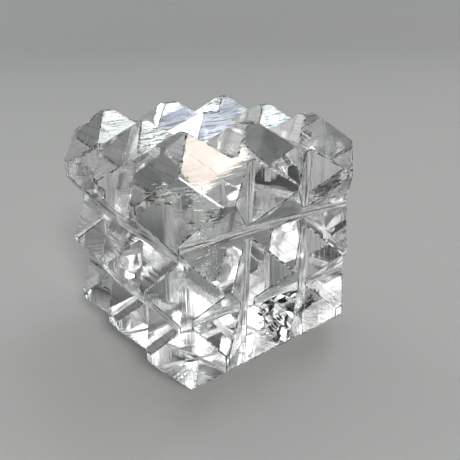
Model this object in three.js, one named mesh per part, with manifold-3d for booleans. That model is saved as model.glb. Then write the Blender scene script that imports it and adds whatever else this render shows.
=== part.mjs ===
// A block of clear quartz cut as a cube of low pyramids, about 50 mm across.
// Every face carries three rows of three four-sided tips, left standing between two cuts
// that run up the face and two that run across it. The twelve edges are ground off.
// Millimetres, +Z up. The stone stands on its lower tips, with the origin under its middle.

import * as THREE from 'three';
import { mergeVertices } from 'three/addons/utils/BufferGeometryUtils.js';
import Module from 'manifold-3d';

const wasm = await Module();
wasm.setup();

// The block inside the tips, and how far the tips stand out of each of its faces.
const block = new THREE.Vector3(42, 42.2, 42.3);
const tipHeight = 4.1;

// The wheel leaves a flat floor in each cut, and a wall on both sides of it.
const floorWidth = 1.5;
const wallRun = 1.3;

// The cuts of each face, seen from outside it with +Z up. On the top and the bottom +X is
// to the right. at: from the middle of the face to the cut's own middle. lean: how far the
// cut drifts from one side of the face to the other. level: its floor above the block.
// tips: their height at the lower and at the upper side, where they aren't all full height.
const faces = {
  front: {
    turn: [Math.PI / 2, 0, 0],
    upright: [{ at: -6.4, lean: 2.4, level: -0.7 }, { at: 7.4, lean: 0.7, level: -0.2 }],
    crosswise: [{ at: -7.0, lean: -1.3, level: 0.0 }, { at: 7.2, lean: -1.1, level: -1.2 }],
  },
  right: {
    turn: [Math.PI / 2, 0, Math.PI / 2],
    upright: [{ at: -7.3, lean: -0.9, level: -0.3 }, { at: 6.9, lean: 1.1, level: 0.1 }],
    crosswise: [{ at: -7.2, lean: 0.8, level: -0.2 }, { at: 7.0, lean: -0.6, level: -0.6 }],
  },
  back: {
    turn: [Math.PI / 2, 0, Math.PI],
    upright: [{ at: -6.8, lean: 0.9, level: 0.0 }, { at: 7.3, lean: -1.2, level: -0.5 }],
    crosswise: [{ at: -6.9, lean: 0.7, level: -0.4 }, { at: 7.4, lean: 0.5, level: 0.1 }],
  },
  left: {
    turn: [Math.PI / 2, 0, -Math.PI / 2],
    upright: [{ at: -7.5, lean: 1.7, level: -0.1 }, { at: 7.5, lean: -1.0, level: -0.4 }],
    crosswise: [{ at: -7.6, lean: 0.1, level: -0.3 }, { at: 6.1, lean: -0.3, level: -0.6 }],
    tips: [3.5, 4.3],
  },
  top: {
    turn: [0, 0, 0],
    upright: [{ at: -8.1, lean: 0.6, level: 0.1 }, { at: 6.6, lean: 2.1, level: 0.2 }],
    crosswise: [{ at: -7.7, lean: -1.6, level: 0.2 }, { at: 6.3, lean: -0.8, level: -0.7 }],
  },
  bottom: {
    turn: [Math.PI, 0, 0],
    upright: [{ at: -7.1, lean: 0.8, level: 0.0 }, { at: 7.0, lean: -0.7, level: -0.3 }],
    crosswise: [{ at: -6.9, lean: 0.6, level: -0.2 }, { at: 7.1, lean: 0.9, level: 0.0 }],
  },
};

// Each ground edge lies between two faces. Its setback from the block's own edge is given
// at the end towards -X, -Y or -Z, and then at the other end.
const groundEdges = [
  { between: ['front', 'left'], setback: [2.1, 1.8] },
  { between: ['front', 'right'], setback: [1.4, 1.7] },
  { between: ['back', 'left'], setback: [1.9, 1.9] },
  { between: ['back', 'right'], setback: [1.7, 2.0] },
  { between: ['front', 'top'], setback: [1.7, 1.2] },
  { between: ['back', 'top'], setback: [2.0, 2.2] },
  { between: ['left', 'top'], setback: [2.2, 0.4] },
  { between: ['right', 'top'], setback: [2.6, 1.8] },
  { between: ['front', 'bottom'], setback: [1.2, 1.5] },
  { between: ['back', 'bottom'], setback: [1.8, 1.6] },
  { between: ['left', 'bottom'], setback: [2.0, 2.0] },
  { between: ['right', 'bottom'], setback: [1.9, 1.5] },
];

// Room for the cutting bodies to run well past the stone on all sides.
const overrun = 20;
const longestCut = 2 * (overrun + tipHeight) + Math.max(block.x, block.y, block.z);

// A closed three.js geometry as a solid that can be joined and cut.
function solidOf(geometry) {
  const bare = geometry.clone();
  bare.deleteAttribute('normal');
  bare.deleteAttribute('uv');
  const merged = mergeVertices(bare, 1e-5);
  return new wasm.Manifold(new wasm.Mesh({
    numProp: 3,
    vertProperties: new Float32Array(merged.attributes.position.array),
    triVerts: new Uint32Array(merged.index.array),
  }));
}

// A solid back as a three.js geometry.
function geometryOf(solid) {
  const mesh = solid.getMesh();
  const geometry = new THREE.BufferGeometry();
  geometry.setAttribute('position', new THREE.BufferAttribute(mesh.vertProperties, 3));
  geometry.setIndex(new THREE.BufferAttribute(mesh.triVerts, 1));
  geometry.computeVertexNormals();
  return geometry;
}

// A face is worked lying flat, then turned to its place about the middle of the block.
function faceTurn(face) {
  return new THREE.Matrix4().makeRotationFromEuler(new THREE.Euler(...face.turn, 'ZYX'));
}

// The way out of the stone through a face.
function outwards(face) {
  return new THREE.Vector3(0, 0, 1).transformDirection(faceTurn(face)).round();
}

// The block's measure along one of its axes, whichever way that axis points.
function blockAlong(direction) {
  return Math.abs(direction.dot(block));
}

// One cut of the wheel: a flat floor and two sloping walls, as long as it needs to be.
function wheelCut(face, cut, isUpright) {
  const mouthHeight = tipHeight + overrun;
  const floorHalf = floorWidth / 2;
  const mouthHalf = floorHalf + wallRun * (mouthHeight - cut.level);
  const section = new THREE.Shape([
    new THREE.Vector2(-floorHalf, cut.level),
    new THREE.Vector2(floorHalf, cut.level),
    new THREE.Vector2(mouthHalf, mouthHeight),
    new THREE.Vector2(-mouthHalf, mouthHeight),
  ]);
  const geometry = new THREE.ExtrudeGeometry(section, { depth: longestCut, bevelEnabled: false });
  geometry.translate(0, 0, -longestCut / 2);
  geometry.rotateX(Math.PI / 2);

  const acrossFace = new THREE.Vector3(1, 0, 0).transformDirection(faceTurn(face));
  const upFace = new THREE.Vector3(0, 1, 0).transformDirection(faceTurn(face));
  if (isUpright) {
    geometry.rotateZ(-Math.atan(cut.lean / blockAlong(upFace)));
    geometry.translate(cut.at, 0, 0);
  } else {
    geometry.rotateZ(Math.atan(cut.lean / blockAlong(acrossFace)) - Math.PI / 2);
    geometry.translate(0, cut.at, 0);
  }
  geometry.translate(0, 0, blockAlong(outwards(face)) / 2);
  geometry.applyMatrix4(faceTurn(face));
  return solidOf(geometry);
}

// What is ground off the tips of a face that aren't all full height.
function tipWaste(face) {
  const [lowHeight, highHeight] = face.tips;
  const upFace = new THREE.Vector3(0, 1, 0).transformDirection(faceTurn(face));
  const geometry = new THREE.BoxGeometry(longestCut, longestCut, overrun);
  geometry.translate(0, 0, overrun / 2);
  geometry.rotateX(Math.atan((highHeight - lowHeight) / blockAlong(upFace)));
  geometry.translate(0, 0, (blockAlong(outwards(face)) + lowHeight + highHeight) / 2);
  geometry.applyMatrix4(faceTurn(face));
  return solidOf(geometry);
}

// What is ground off one edge: everything outside a flat that faces both ways at once.
function edgeWaste({ between, setback }) {
  const [outA, outB] = between.map((name) => outwards(faces[name]));
  const corner = outA.clone().add(outB);
  const along = new THREE.Vector3(1, 1, 1).sub(corner.clone().multiply(corner));
  const outward = corner.clone().normalize();
  const sideways = along.clone().cross(outward);

  const [lowSetback, highSetback] = setback;
  const taper = (lowSetback - highSetback) / Math.SQRT2 / blockAlong(along);
  const geometry = new THREE.BoxGeometry(overrun, longestCut, overrun);
  geometry.translate(0, 0, overrun / 2);
  geometry.rotateX(Math.atan(taper));
  geometry.translate(0, 0, -(lowSetback + highSetback) / 2 / Math.SQRT2);

  const place = new THREE.Matrix4().makeBasis(sideways, along, outward);
  place.setPosition(corner.multiply(block).divideScalar(2));
  geometry.applyMatrix4(place);
  return solidOf(geometry);
}

function cutStone() {
  const rough = block.clone().addScalar(2 * tipHeight);
  let stone = solidOf(new THREE.BoxGeometry(rough.x, rough.y, rough.z));
  for (const edge of groundEdges) {
    stone = stone.subtract(edgeWaste(edge));
  }
  for (const face of Object.values(faces)) {
    for (const cut of face.upright) {
      stone = stone.subtract(wheelCut(face, cut, true));
    }
    for (const cut of face.crosswise) {
      stone = stone.subtract(wheelCut(face, cut, false));
    }
    if (face.tips) {
      stone = stone.subtract(tipWaste(face));
    }
  }
  const geometry = geometryOf(stone);
  geometry.computeBoundingBox();
  const middle = geometry.boundingBox.getCenter(new THREE.Vector3());
  geometry.translate(-middle.x, -middle.y, -geometry.boundingBox.min.z);
  return geometry;
}

const quartz = new THREE.MeshStandardMaterial({
  color: 0xeef2f3,
  roughness: 0.05,
  metalness: 0,
  transparent: true,
  opacity: 0.35,
  flatShading: true,
});

const crystal = new THREE.Mesh(cutStone(), quartz);
crystal.name = 'quartz_crystal';

const object = new THREE.Group();
object.add(crystal);

export default object;
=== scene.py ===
# A cube of clear quartz, cut with rows of low pyramids, resting on a pale floor.
import math
import random

import bmesh
import bpy
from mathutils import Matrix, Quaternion, Vector


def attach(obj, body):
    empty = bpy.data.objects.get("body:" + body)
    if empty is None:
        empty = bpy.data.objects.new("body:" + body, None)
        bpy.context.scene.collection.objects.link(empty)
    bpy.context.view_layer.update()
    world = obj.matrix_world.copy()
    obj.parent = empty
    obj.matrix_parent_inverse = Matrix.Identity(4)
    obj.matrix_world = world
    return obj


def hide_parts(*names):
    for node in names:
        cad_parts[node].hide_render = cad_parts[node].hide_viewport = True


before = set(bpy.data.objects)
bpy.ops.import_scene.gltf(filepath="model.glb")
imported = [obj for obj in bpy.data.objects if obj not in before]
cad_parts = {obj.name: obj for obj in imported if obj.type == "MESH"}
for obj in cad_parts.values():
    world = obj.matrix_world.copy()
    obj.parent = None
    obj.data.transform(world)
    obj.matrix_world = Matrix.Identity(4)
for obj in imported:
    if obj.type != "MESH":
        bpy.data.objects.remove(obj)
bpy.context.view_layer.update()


# ---- The stone ----------------------------------------------------------------------------
# One block of rock crystal. Its tips stand between cuts made with a wheel, whose walls are
# polished and whose floors are left ground. The upward facets keep a hatch of short wheel
# lines, and the ridges are worn and nicked by handling. The wheel lines, most of all on the
# groove floors and worn ridges, carry painted shade: dark base colour standing in for the
# dark refracted lines that clear quartz shows there.

MM = 0.001
scene = bpy.context.scene

block_middle = Vector((0, 0, 25.25)) * MM
block_half = Vector((21.0, 21.1, 21.15)) * MM
floor_limit = 2.0 * MM
same_point = 0.001 * MM
same_plane = math.radians(0.2)

ridge_wear = (0.13 * MM, 0.19 * MM)
ridge_share = 0.35
ridge_angle = math.radians(3)
shortest_ridge = 0.2 * MM
smallest_facet = 1.0 * MM ** 2
nick_spacing = 0.7 * MM
nick_depth = 0.2 * MM
nick_rarity = 14
widest_wear = ridge_wear[1] + nick_depth
wear_seed = 11

quartz_ior = 1.544
quartz_tint = (0.80, 0.88, 0.85, 1)
quartz_density = 0.05
swells_per_metre = 110
swell_depth = 0.03 * MM
line_wander = 0.15
coarse_wheel = 0.55
finest_rim = 0.3
finish_seed = 13
POLISHED, GROUND_FLOOR, WORN, GROUND_EDGE, HATCHED = range(5)


def quartz_material(
    name, clearness, roughness, lines_size, line_depth, painted_line_shade, shade_span, detail, fading
):
    """Clear quartz with wheel lines of a given length, width, depth and shade on each facet. The
    lines' darker base colour is painted shade, standing in for the dark refracted lines that clear
    quartz shows along its cuts and ridges.

    `fading` is the share of their depth that the lines lose where the wheel was fine.
    """
    material = bpy.data.materials.new(name)
    material.use_nodes = True
    nodes, links = material.node_tree.nodes, material.node_tree.links
    shader = nodes["Principled BSDF"]
    shader.inputs["Roughness"].default_value = roughness
    shader.inputs["IOR"].default_value = quartz_ior
    shader.inputs["Transmission Weight"].default_value = clearness

    line_length, line_width = lines_size
    uv = nodes.new("ShaderNodeUVMap")
    uv.uv_map = "wheel_lines"
    mapping = nodes.new("ShaderNodeMapping")
    mapping.inputs["Scale"].default_value = (1 / line_length, 1 / line_width, 1)
    lines = nodes.new("ShaderNodeTexNoise")
    lines.inputs["Scale"].default_value = 1.0
    lines.inputs["Detail"].default_value = detail
    lines.inputs["Distortion"].default_value = line_wander
    line_bump = nodes.new("ShaderNodeBump")
    line_bump.inputs["Distance"].default_value = line_depth
    links.new(uv.outputs["UV"], mapping.inputs["Vector"])
    links.new(mapping.outputs["Vector"], lines.inputs["Vector"])
    links.new(lines.outputs["Fac"], line_bump.inputs["Height"])

    # Painted shade: the wheel lines darken the base colour, standing in for the dark refractions
    # along cuts and ridges.
    painted_shade_ramp = nodes.new("ShaderNodeValToRGB")
    dark, clear = painted_shade_ramp.color_ramp.elements
    dark.position, clear.position = shade_span
    dark.color = (painted_line_shade, painted_line_shade, painted_line_shade, 1)
    clear.color = (1, 1, 1, 1)
    links.new(lines.outputs["Fac"], painted_shade_ramp.inputs["Fac"])
    links.new(painted_shade_ramp.outputs["Color"], shader.inputs["Base Color"])

    place = nodes.new("ShaderNodeTexCoord")
    swell = nodes.new("ShaderNodeTexNoise")
    swell.inputs["Scale"].default_value = swells_per_metre
    swell.inputs["Detail"].default_value = 1.0
    swell_bump = nodes.new("ShaderNodeBump")
    swell_bump.inputs["Distance"].default_value = swell_depth
    links.new(place.outputs["Object"], swell.inputs["Vector"])
    links.new(swell.outputs["Fac"], swell_bump.inputs["Height"])
    links.new(swell_bump.outputs["Normal"], line_bump.inputs["Normal"])
    links.new(line_bump.outputs["Normal"], shader.inputs["Normal"])

    if fading:
        finish = nodes.new("ShaderNodeAttribute")
        finish.attribute_name = "finish"
        spread = nodes.new("ShaderNodeMapRange")
        spread.inputs["From Min"].default_value = coarse_wheel
        spread.inputs["To Min"].default_value = 1 - fading
        links.new(finish.outputs["Fac"], spread.inputs["Value"])
        links.new(spread.outputs["Result"], line_bump.inputs["Strength"])

    absorb = nodes.new("ShaderNodeVolumeAbsorption")
    absorb.inputs["Color"].default_value = quartz_tint
    absorb.inputs["Density"].default_value = quartz_density
    links.new(absorb.outputs["Volume"], nodes["Material Output"].inputs["Volume"])
    return material


# In the order of the numbers POLISHED to HATCHED.
finishes = (
    quartz_material(
        "polished_facet", clearness=1.0, roughness=0.0, lines_size=(15 * MM, 0.6 * MM),
        line_depth=0.08 * MM, painted_line_shade=0.70, shade_span=(0.36, 0.50), detail=4.0, fading=0.93,
    ),
    # Groove floors and worn ridges: nearly black painted line shade over the real ground and worn
    # finish.
    quartz_material(
        "ground_shaded_floor", clearness=0.9, roughness=0.06, lines_size=(9 * MM, 0.42 * MM),
        line_depth=0.16 * MM, painted_line_shade=0.08, shade_span=(0.38, 0.52), detail=4.0, fading=0.0,
    ),
    quartz_material(
        "worn_shaded_ridge", clearness=0.95, roughness=0.30, lines_size=(4 * MM, 0.5 * MM),
        line_depth=0.05 * MM, painted_line_shade=0.01, shade_span=(0.46, 0.56), detail=4.0, fading=0.0,
    ),
    quartz_material(
        "ground_edge", clearness=1.0, roughness=0.06, lines_size=(12 * MM, 0.5 * MM),
        line_depth=0.03 * MM, painted_line_shade=0.80, shade_span=(0.36, 0.50), detail=4.0, fading=0.0,
    ),
    quartz_material(
        "hatched_facet", clearness=1.0, roughness=0.0, lines_size=(6 * MM, 0.75 * MM),
        line_depth=0.12 * MM, painted_line_shade=0.60, shade_span=(0.36, 0.50), detail=1.2, fading=0.4,
    ),
)


def is_cut_floor(face):
    """A flat at the bottom of a cut: square to an axis, and just outside the plain block."""
    axis = max(range(3), key=lambda k: abs(face.normal[k]))
    if abs(face.normal[axis]) < 0.999:
        return False
    offset = face.calc_center_median() - block_middle
    return abs(offset[axis]) - block_half[axis] < floor_limit


def is_upright_edge(face):
    """A bevel along one of the block's four upright edges."""
    normal = face.normal
    return abs(normal.z) < 0.05 and min(abs(normal.x), abs(normal.y)) > 0.65


def is_hatched(face):
    """An upward wall of a cut that runs from left to right."""
    return face.normal.z > 0.75 and abs(face.normal.x) < 0.1 and not is_cut_floor(face)


def wheel_direction(face):
    """Along the cut on a slanting wall; along the longest edge of a facet square to an axis."""
    axes = sorted(range(3), key=lambda k: abs(face.normal[k]))
    if abs(face.normal[axes[1]]) > 0.1:
        along = Vector((0, 0, 0))
        along[axes[0]] = 1
    else:
        edge = max(face.edges, key=lambda e: e.calc_length())
        along = (edge.verts[1].co - edge.verts[0].co).normalized()
    return (along - face.normal * along.dot(face.normal)).normalized()


def cut_finish(face, dice):
    """How coarse the last wheel was, from 0 to 1; finest on the front and back top bevels."""
    if min(abs(face.normal.y), face.normal.z) > 0.65:
        return dice.uniform(0.0, finest_rim)
    return dice.random()


def room_beside(edge):
    """How far the nearest other corner or border of either facet lies from this edge."""
    def gap(point, side):
        start, end = (vert.co for vert in side.verts)
        part = (point - start).dot(end - start) / (end - start).length_squared
        return (point - start - (end - start) * min(max(part, 0), 1)).length

    room = math.inf
    for face in edge.link_faces:
        for vert in face.verts:
            if vert not in edge.verts:
                room = min(room, gap(vert.co, edge))
        for side in face.edges:
            if not set(side.verts) & set(edge.verts):
                room = min(room, *(gap(vert.co, side) for vert in edge.verts))
    return room


def wear_ridges(data):
    """Blunt every outward ridge, in short lengths so that its border is finely nicked."""
    dice = random.Random(wear_seed)
    mesh = bmesh.new()
    mesh.from_mesh(data)
    bmesh.ops.remove_doubles(mesh, verts=mesh.verts, dist=shortest_ridge)
    weight = mesh.edges.layers.float.new("bevel_weight_edge")
    ridges = [
        (edge, edge.verts[1], room_beside(edge)) for edge in mesh.edges
        if edge.is_convex and edge.calc_face_angle(0) > ridge_angle
        and min(face.calc_area() for face in edge.link_faces) > smallest_facet
    ]
    for edge, end, room in ridges:
        count = max(1, round(edge.calc_length() / nick_spacing))
        for left in range(count, 0, -1):
            wear = dice.uniform(*ridge_wear) + nick_depth * dice.random() ** nick_rarity
            edge[weight] = min(wear, ridge_share * room) / widest_wear
            if left > 1:
                near = edge.other_vert(end)
                made, _ = bmesh.utils.edge_split(edge, near, 1 / left)
                made[weight] = edge[weight]
                edge = next(part for part in (edge, made) if end in part.verts)
    mesh.to_mesh(data)
    mesh.free()
    holder = bpy.data.objects.new("ridge_tool", data)
    scene.collection.objects.link(holder)
    bevel = holder.modifiers.new("ridges", "BEVEL")
    bevel.width = widest_wear
    bevel.segments = 1
    bevel.limit_method = "WEIGHT"
    bevel.use_clamp_overlap = False
    bevel.material = WORN
    view = bpy.context.evaluated_depsgraph_get()
    worn = bpy.data.meshes.new_from_object(holder.evaluated_get(view))
    bpy.data.objects.remove(holder)
    return worn


def cut_stone(name):
    """The solid's own facets, each with its finish and wheel lines, and its ridges worn."""
    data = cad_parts["quartz_crystal"].data.copy()
    data.materials.clear()
    for finish_material in finishes:
        data.materials.append(finish_material)
    mesh = bmesh.new()
    mesh.from_mesh(data)
    bmesh.ops.remove_doubles(mesh, verts=mesh.verts, dist=same_point)
    bmesh.ops.dissolve_limit(mesh, angle_limit=same_plane, verts=mesh.verts, edges=mesh.edges)
    for face in mesh.faces:
        face.material_index = (
            GROUND_FLOOR if is_cut_floor(face)
            else GROUND_EDGE if is_upright_edge(face)
            else HATCHED if is_hatched(face)
            else POLISHED
        )
    mesh.to_mesh(data)
    mesh.free()
    data = wear_ridges(data)
    mesh = bmesh.new()
    mesh.from_mesh(data)
    dice = random.Random(finish_seed)
    lines = mesh.loops.layers.uv.new("wheel_lines")
    finish = mesh.faces.layers.float.new("finish")
    for face in mesh.faces:
        along = wheel_direction(face)
        across = face.normal.cross(along)
        shift = dice.uniform(0, 1)
        face[finish] = cut_finish(face, dice)
        face.smooth = False
        for loop in face.loops:
            loop[lines].uv = (loop.vert.co.dot(along) + shift, loop.vert.co.dot(across) + shift)
    mesh.to_mesh(data)
    mesh.free()
    stone = bpy.data.objects.new(name, data)
    scene.collection.objects.link(stone)
    return stone


stone = cut_stone("stone")
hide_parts("quartz_crystal")
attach(stone, "root")


# ---- Flaws inside the stone ---------------------------------------------------------------
# Old cracks that the crystal grew around. Each patch is a thin wavy sheet of broken flakes,
# sealed in the quartz a few millimetres under its facets: dark and grey flakes of painted
# shade, standing in for cracks that look dark by total reflection, and silvery gas films.

crack_step = 0.5 * MM
crack_wave = 0.35 * MM
grains_per_metre = 2600
grain_depth = 0.03 * MM
broken_edge = 0.25 * MM

# The two ways in which a patch spreads: along its strands, and across them.
front = ((1, 0, 0), (0, 0, 1))
front_lean = ((1, 0, 0), (0, 0.61, 0.79))
front_rise = ((0.80, 0, 0.60), (-0.60, 0, 0.80))
front_fall = ((0.80, 0, -0.60), (0.60, 0, 0.80))
corner = ((0.71, -0.71, 0), (0, 0, 1))

# Each patch: its middle, its size along and across in millimetres, and how it spreads.
dark_patches = (
    ((2.9, -19.7, 15.3), (8.6, 2.4), front),
    ((-1.2, -19.7, 12.4), (5.2, 1.9), front_fall),
    ((5.0, -19.7, 11.6), (3.0, 2.4), front),
    ((2.2, -19.7, 8.9), (3.6, 1.5), front_rise),
    ((9.8, -19.7, 11.6), (5.6, 2.4), front_rise),
)
fine_patches = (
    ((-15.2, -20.6, 38.0), (4.6, 3.4), corner),
    ((-18.2, -17.6, 41.2), (9.0, 2.2), corner),
    ((-13.6, -19.3, 28.0), (6.0, 3.5), front_lean),
    ((-21.4, -12.9, 10.9), (3.0, 2.0), corner),
    ((-16.5, -18.4, 11.0), (5.0, 3.0), corner),
    ((14.6, -19.8, 36.2), (8.0, 4.0), front),
)
silver_patches = (
    ((4.4, -19.2, 12.6), (14.0, 7.0), front),
    ((15.0, -19.4, 36.0), (8.0, 4.5), front),
    ((-15.0, -20.2, 38.2), (5.0, 3.8), corner),
    ((-18.4, -17.2, 41.6), (9.5, 2.4), corner),
    ((-13.4, -19.0, 28.6), (6.5, 4.0), front_lean),
)


def flaw_material(name, shadow, light, metal, roughness):
    """The broken face of a flake, grainy from its shadow colour to its light one."""
    material = bpy.data.materials.new(name)
    material.use_nodes = True
    nodes, links = material.node_tree.nodes, material.node_tree.links
    shader = nodes["Principled BSDF"]
    shader.inputs["Metallic"].default_value = metal
    shader.inputs["Roughness"].default_value = roughness
    place = nodes.new("ShaderNodeTexCoord")
    grain = nodes.new("ShaderNodeTexNoise")
    grain.inputs["Scale"].default_value = grains_per_metre
    grain.inputs["Detail"].default_value = 3.0
    shade = nodes.new("ShaderNodeValToRGB")
    shade.color_ramp.elements[0].position = 0.35
    shade.color_ramp.elements[0].color = (*shadow, 1)
    shade.color_ramp.elements[1].position = 0.70
    shade.color_ramp.elements[1].color = (*light, 1)
    bump = nodes.new("ShaderNodeBump")
    bump.inputs["Distance"].default_value = grain_depth
    links.new(place.outputs["Object"], grain.inputs["Vector"])
    links.new(grain.outputs["Fac"], shade.inputs["Fac"])
    links.new(shade.outputs["Color"], shader.inputs["Base Color"])
    links.new(grain.outputs["Fac"], bump.inputs["Height"])
    links.new(bump.outputs["Normal"], shader.inputs["Normal"])
    return material


def crack_sheets(name, patches):
    """The wavy sheets that the flakes lie on, with the way each one runs kept on its faces."""
    data = bpy.data.meshes.new(name)
    mesh = bmesh.new()
    along_layer = mesh.faces.layers.float_vector.new("along")
    for middle, (width, height), (along, up) in patches:
        middle, along, up = Vector(middle) * MM, Vector(along), Vector(up)
        out = along.cross(up)
        columns = round(width * MM / crack_step)
        rows = round(height * MM / crack_step)
        corners = {}
        for i in range(columns + 1):
            for j in range(rows + 1):
                across = (i / columns - 0.5) * width * MM
                rise = (j / rows - 0.5) * height * MM
                wave = crack_wave * math.sin(0.9 * i + 0.4 * j) * math.cos(0.7 * j)
                corners[i, j] = mesh.verts.new(middle + along * across + up * rise + out * wave)
        for i in range(columns):
            for j in range(rows):
                face = mesh.faces.new(
                    (corners[i, j], corners[i + 1, j], corners[i + 1, j + 1], corners[i, j + 1])
                )
                face[along_layer] = along
    mesh.to_mesh(data)
    mesh.free()
    return data


def flake_tree():
    """Scatter ragged plates over a mesh, lying in it and drawn out along its runs."""
    tree = bpy.data.node_groups.new("flakes", "GeometryNodeTree")
    nodes, links = tree.nodes, tree.links
    tree.interface.new_socket("Sheets", in_out="INPUT", socket_type="NodeSocketGeometry")
    sizes = (
        ("Flakes per Area", 1.2e6), ("Cluster Size", 2.0 * MM), ("Cluster Cut", 0.5),
        ("Smallest", 0.10 * MM), ("Largest", 0.5 * MM), ("Stretch", 1.8),
        ("Thickness", 0.05 * MM), ("Tilt", 0.4), ("Raggedness", 0.5 * MM),
    )
    for label, value in sizes:
        socket = tree.interface.new_socket(label, in_out="INPUT", socket_type="NodeSocketFloat")
        socket.default_value = value
    tree.interface.new_socket("Seed", in_out="INPUT", socket_type="NodeSocketInt")
    tree.interface.new_socket("Material", in_out="INPUT", socket_type="NodeSocketMaterial")
    tree.interface.new_socket("Flakes", in_out="OUTPUT", socket_type="NodeSocketGeometry")
    given = nodes.new("NodeGroupInput").outputs
    result = nodes.new("NodeGroupOutput")

    cluster_scale = nodes.new("ShaderNodeMath")
    cluster_scale.operation = "DIVIDE"
    cluster_scale.inputs[0].default_value = 1.0
    links.new(given["Cluster Size"], cluster_scale.inputs[1])
    clusters = nodes.new("ShaderNodeTexNoise")
    links.new(cluster_scale.outputs["Value"], clusters.inputs["Scale"])
    in_cluster = nodes.new("FunctionNodeCompare")
    in_cluster.operation = "GREATER_THAN"
    links.new(clusters.outputs["Fac"], in_cluster.inputs["A"])
    links.new(given["Cluster Cut"], in_cluster.inputs["B"])

    scatter = nodes.new("GeometryNodeDistributePointsOnFaces")
    links.new(given["Sheets"], scatter.inputs["Mesh"])
    links.new(in_cluster.outputs["Result"], scatter.inputs["Selection"])
    links.new(given["Flakes per Area"], scatter.inputs["Density"])
    links.new(given["Seed"], scatter.inputs["Seed"])

    along = nodes.new("GeometryNodeInputNamedAttribute")
    along.data_type = "FLOAT_VECTOR"
    along.inputs["Name"].default_value = "along"
    lie = nodes.new("FunctionNodeAlignRotationToVector")
    lie.axis = "X"
    lie.pivot_axis = "Z"
    links.new(scatter.outputs["Rotation"], lie.inputs["Rotation"])
    links.new(along.outputs["Attribute"], lie.inputs["Vector"])
    least_tilt = nodes.new("ShaderNodeMath")
    least_tilt.operation = "MULTIPLY"
    least_tilt.inputs[1].default_value = -1.0
    links.new(given["Tilt"], least_tilt.inputs[0])
    tilt = nodes.new("FunctionNodeRandomValue")
    tilt.data_type = "FLOAT_VECTOR"
    links.new(least_tilt.outputs["Value"], tilt.inputs["Min"])
    links.new(given["Tilt"], tilt.inputs["Max"])
    links.new(given["Seed"], tilt.inputs["Seed"])
    tilt_turn = nodes.new("FunctionNodeEulerToRotation")
    links.new(tilt.outputs["Value"], tilt_turn.inputs["Euler"])
    turned = nodes.new("FunctionNodeRotateRotation")
    turned.rotation_space = "LOCAL"
    links.new(lie.outputs["Rotation"], turned.inputs["Rotation"])
    links.new(tilt_turn.outputs["Rotation"], turned.inputs["Rotate By"])

    size = nodes.new("FunctionNodeRandomValue")
    size.data_type = "FLOAT"
    links.new(given["Smallest"], size.inputs["Min"])
    links.new(given["Largest"], size.inputs["Max"])
    links.new(given["Seed"], size.inputs["Seed"])
    length = nodes.new("ShaderNodeMath")
    length.operation = "MULTIPLY"
    links.new(size.outputs["Value"], length.inputs[0])
    links.new(given["Stretch"], length.inputs[1])
    flake_size = nodes.new("ShaderNodeCombineXYZ")
    links.new(length.outputs["Value"], flake_size.inputs["X"])
    links.new(size.outputs["Value"], flake_size.inputs["Y"])
    links.new(given["Thickness"], flake_size.inputs["Z"])

    plate = nodes.new("GeometryNodeMeshCylinder")
    plate.fill_type = "TRIANGLE_FAN"
    plate.inputs["Vertices"].default_value = 8
    plate.inputs["Radius"].default_value = 1.0
    plate.inputs["Depth"].default_value = 1.0
    place = nodes.new("GeometryNodeInstanceOnPoints")
    links.new(scatter.outputs["Points"], place.inputs["Points"])
    links.new(plate.outputs["Mesh"], place.inputs["Instance"])
    links.new(turned.outputs["Rotation"], place.inputs["Rotation"])
    links.new(flake_size.outputs["Vector"], place.inputs["Scale"])
    realize = nodes.new("GeometryNodeRealizeInstances")
    links.new(place.outputs["Instances"], realize.inputs["Geometry"])

    ragged = nodes.new("ShaderNodeTexNoise")
    ragged.inputs["Scale"].default_value = 1 / broken_edge
    centred = nodes.new("ShaderNodeVectorMath")
    centred.operation = "SUBTRACT"
    centred.inputs[1].default_value = (0.5, 0.5, 0.5)
    shift = nodes.new("ShaderNodeVectorMath")
    shift.operation = "SCALE"
    links.new(ragged.outputs["Color"], centred.inputs[0])
    links.new(centred.outputs["Vector"], shift.inputs[0])
    links.new(given["Raggedness"], shift.inputs["Scale"])
    break_up = nodes.new("GeometryNodeSetPosition")
    links.new(realize.outputs["Geometry"], break_up.inputs["Geometry"])
    links.new(shift.outputs["Vector"], break_up.inputs["Offset"])
    finish = nodes.new("GeometryNodeSetMaterial")
    links.new(break_up.outputs["Geometry"], finish.inputs["Geometry"])
    links.new(given["Material"], finish.inputs["Material"])
    links.new(finish.outputs["Geometry"], result.inputs["Flakes"])
    return tree


def grow_flakes(name, tree, patches, settings):
    """One group of flakes, grown on its patches with the tree's named inputs set."""
    holder = bpy.data.objects.new(name + "_sheets", crack_sheets(name + "_sheets", patches))
    scene.collection.objects.link(holder)
    scatter = holder.modifiers.new("flakes", "NODES")
    scatter.node_group = tree
    for socket in tree.interface.items_tree:
        if socket.name in settings:
            scatter[socket.identifier] = settings[socket.name]
    view = bpy.context.evaluated_depsgraph_get()
    flakes = bpy.data.meshes.new_from_object(holder.evaluated_get(view))
    bpy.data.objects.remove(holder)
    piece = bpy.data.objects.new(name, flakes)
    scene.collection.objects.link(piece)
    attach(piece, "root")


flakes = flake_tree()
# Painted shade: near-black flakes standing in for cracks that look dark by total reflection.
dark_shade_flake = flaw_material(
    "dark_shade_flake", shadow=(0.010, 0.010, 0.012), light=(0.10, 0.10, 0.09), metal=0.0, roughness=0.25
)
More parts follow.
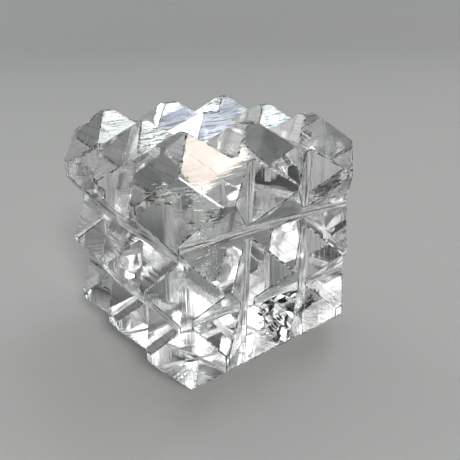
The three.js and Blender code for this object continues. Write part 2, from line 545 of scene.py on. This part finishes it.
# Painted shade: dark-grey flakes standing in for fine cracks that look dark by total reflection.
grey_shade_flake = flaw_material(
    "grey_shade_flake", shadow=(0.03, 0.03, 0.03), light=(0.35, 0.35, 0.33), metal=0.0, roughness=0.25
)
silver_flake = flaw_material(
    "silver_flake", shadow=(0.55, 0.57, 0.56), light=(0.95, 0.96, 0.94), metal=0.7, roughness=0.3
)
grow_flakes("dark_cracks", flakes, dark_patches, {
    "Seed": 5, "Material": dark_shade_flake, "Flakes per Area": 1.6e6, "Cluster Size": 1.3 * MM,
    "Cluster Cut": 0.42, "Stretch": 3.0, "Smallest": 0.08 * MM, "Largest": 0.34 * MM,
    "Raggedness": 0.4 * MM,
})
grow_flakes("fine_cracks", flakes, fine_patches, {
    "Seed": 6, "Material": grey_shade_flake, "Stretch": 7.0, "Smallest": 0.04 * MM,
    "Largest": 0.16 * MM, "Tilt": 0.15, "Raggedness": 0.35 * MM,
})
grow_flakes("silver_cracks", flakes, silver_patches, {
    "Seed": 8, "Material": silver_flake, "Stretch": 5.0, "Smallest": 0.05 * MM,
    "Largest": 0.20 * MM, "Tilt": 0.3, "Raggedness": 0.35 * MM,
})


# ---- Floor and light ----------------------------------------------------------------------
# A plain pale floor that curls up far away. Soft panels light it, the strongest in front and
# high, with small cool ones and one warm one that the top facets mirror, under a dim sky.

floor_colour = (0.20, 0.20, 0.197, 1)
floor_roughness = 0.8
floor_gap = 0.03 * MM
flat_radius = 0.8
curl_length = 1.6
steepest = 70
curl_steps = 24
ring_step = 5

floor_material = bpy.data.materials.new("pale_floor")
floor_material.use_nodes = True
floor_shader = floor_material.node_tree.nodes["Principled BSDF"]
floor_shader.inputs["Base Color"].default_value = floor_colour
floor_shader.inputs["Roughness"].default_value = floor_roughness
floor_profile = [(flat_radius, 0.0)]
for step in range(curl_steps):
    rise = math.radians(steepest) * ((step + 0.5) / curl_steps) ** 2
    radius, height = floor_profile[-1]
    stride = curl_length / curl_steps
    floor_profile.append((radius + stride * math.cos(rise), height + stride * math.sin(rise)))
sweep = bmesh.new()
rings = []
for radius, height in floor_profile:
    rings.append([
        sweep.verts.new((
            radius * math.cos(math.radians(turn)), radius * math.sin(math.radians(turn)),
            height - floor_gap,
        ))
        for turn in range(0, 360, ring_step)
    ])
sweep.faces.new(rings[0])
for lower, upper in zip(rings, rings[1:]):
    for i in range(len(lower)):
        j = (i + 1) % len(lower)
        sweep.faces.new((lower[i], lower[j], upper[j], upper[i])).smooth = True
floor_mesh = bpy.data.meshes.new("floor")
sweep.to_mesh(floor_mesh)
sweep.free()
floor_mesh.materials.append(floor_material)
floor = bpy.data.objects.new("floor", floor_mesh)
scene.collection.objects.link(floor)

# The sky's brightness by height, from the horizon to overhead.
sky_levels = (
    (0.00, 0.16),
    (0.26, 0.10),
    (0.36, 0.04),
    (0.60, 0.15),
    (0.80, 0.45),
    (1.00, 1.20),
)

world = bpy.data.worlds.new("world")
world.use_nodes = True
sky_nodes, sky_links = world.node_tree.nodes, world.node_tree.links
sky_direction = sky_nodes.new("ShaderNodeTexCoord")
sky_height = sky_nodes.new("ShaderNodeSeparateXYZ")
sky_ramp = sky_nodes.new("ShaderNodeValToRGB")
sky_links.new(sky_direction.outputs["Generated"], sky_height.inputs["Vector"])
sky_links.new(sky_height.outputs["Z"], sky_ramp.inputs["Fac"])
sky_links.new(sky_ramp.outputs["Color"], sky_nodes["Background"].inputs["Color"])
stops = sky_ramp.color_ramp.elements
for index, (height, level) in enumerate(sky_levels):
    stop = stops[index] if index < 2 else stops.new(height)
    stop.position = height
    stop.color = (level * 0.98, level, level, 1)
scene.world = world

lights_aim = Vector((0, 0, 0.03))
white = (1.0, 1.0, 0.99)


def soft_light(name, azimuth, elevation, distance, spread, radiance, colour, roll=0):
    """A rectangular panel seen from the stone over `spread` degrees across and up."""
    turn, rise = math.radians(azimuth), math.radians(elevation)
    direction = Vector(
        (math.cos(turn) * math.cos(rise), math.sin(turn) * math.cos(rise), math.sin(rise))
    )
    data = bpy.data.lights.new(name, "AREA")
    data.shape = "RECTANGLE"
    data.size = 2 * distance * math.tan(math.radians(spread[0] / 2))
    data.size_y = 2 * distance * math.tan(math.radians(spread[1] / 2))
    data.energy = radiance * math.pi * data.size * data.size_y
    data.color = colour
    light = bpy.data.objects.new(name, data)
    light.location = direction * distance + lights_aim
    light.rotation_mode = "QUATERNION"
    facing = (-direction).to_track_quat("-Z", "Y")
    light.rotation_quaternion = facing @ Quaternion((0, 0, 1), math.radians(roll))
    light.visible_camera = False
    scene.collection.objects.link(light)


soft_light("key", 250, 34, 3.0, (15, 13), 84.0, white)
soft_light("overhead_left", 62, 58, 3.3, (64, 30), 1.15, white)
soft_light("overhead_right", 336, 60, 3.3, (50, 23), 1.15, white)
soft_light("back", 120, 40, 3.3, (58, 20), 0.85, white)
soft_light("low_left", 155, 14, 1.05, (50, 22), 0.95, (1.0, 1.0, 1.0))
soft_light("low_right", 300, 10, 1.05, (46, 16), 0.80, (1.0, 1.0, 1.0))
soft_light("low_window", 0, 50.3, 2.8, (9, 6), 6.6, (0.80, 0.95, 1.0))
soft_light("window", 3, 58.0, 2.8, (9, 9), 4.4, (0.60, 0.72, 1.0))
soft_light("high_window", 4, 67.0, 2.8, (10, 8), 7.0, (0.90, 1.0, 0.99))
soft_light("cool_strip", 93, 32.8, 2.8, (7, 6), 11.0, (0.80, 1.0, 1.0))
soft_light("warm_panel", -26.2, 53.9, 2.6, (7.5, 6.4), 9.6, (1.0, 0.85, 0.74), roll=-33)


# ---- Camera -------------------------------------------------------------------------------
# A close view from the front left and above, as of a stone held at reading distance. Light
# turns many times inside the stone, so its paths are followed far.

camera_place = Vector((-58.5, -84.8, 68.3)) * MM
camera_aim = Vector((5.1, -0.1, 23.3)) * MM
camera_roll = math.radians(-0.7)
camera_lens = 39.9

camera_data = bpy.data.cameras.new("camera")
camera_data.sensor_width = 36
camera_data.lens = camera_lens
camera_data.clip_start = 5 * MM
camera = bpy.data.objects.new("camera", camera_data)
camera.location = camera_place
camera.rotation_mode = "QUATERNION"
sight = (camera_aim - camera_place).to_track_quat("-Z", "Y")
camera.rotation_quaternion = sight @ Quaternion((0, 0, 1), camera_roll)
scene.collection.objects.link(camera)
bpy.context.scene.camera = camera

scene.cycles.max_bounces = 32
scene.cycles.transmission_bounces = 32
scene.cycles.glossy_bounces = 24
scene.view_settings.view_transform = "Standard"
scene.view_settings.look = "High Contrast"
scene.view_settings.exposure = -0.22
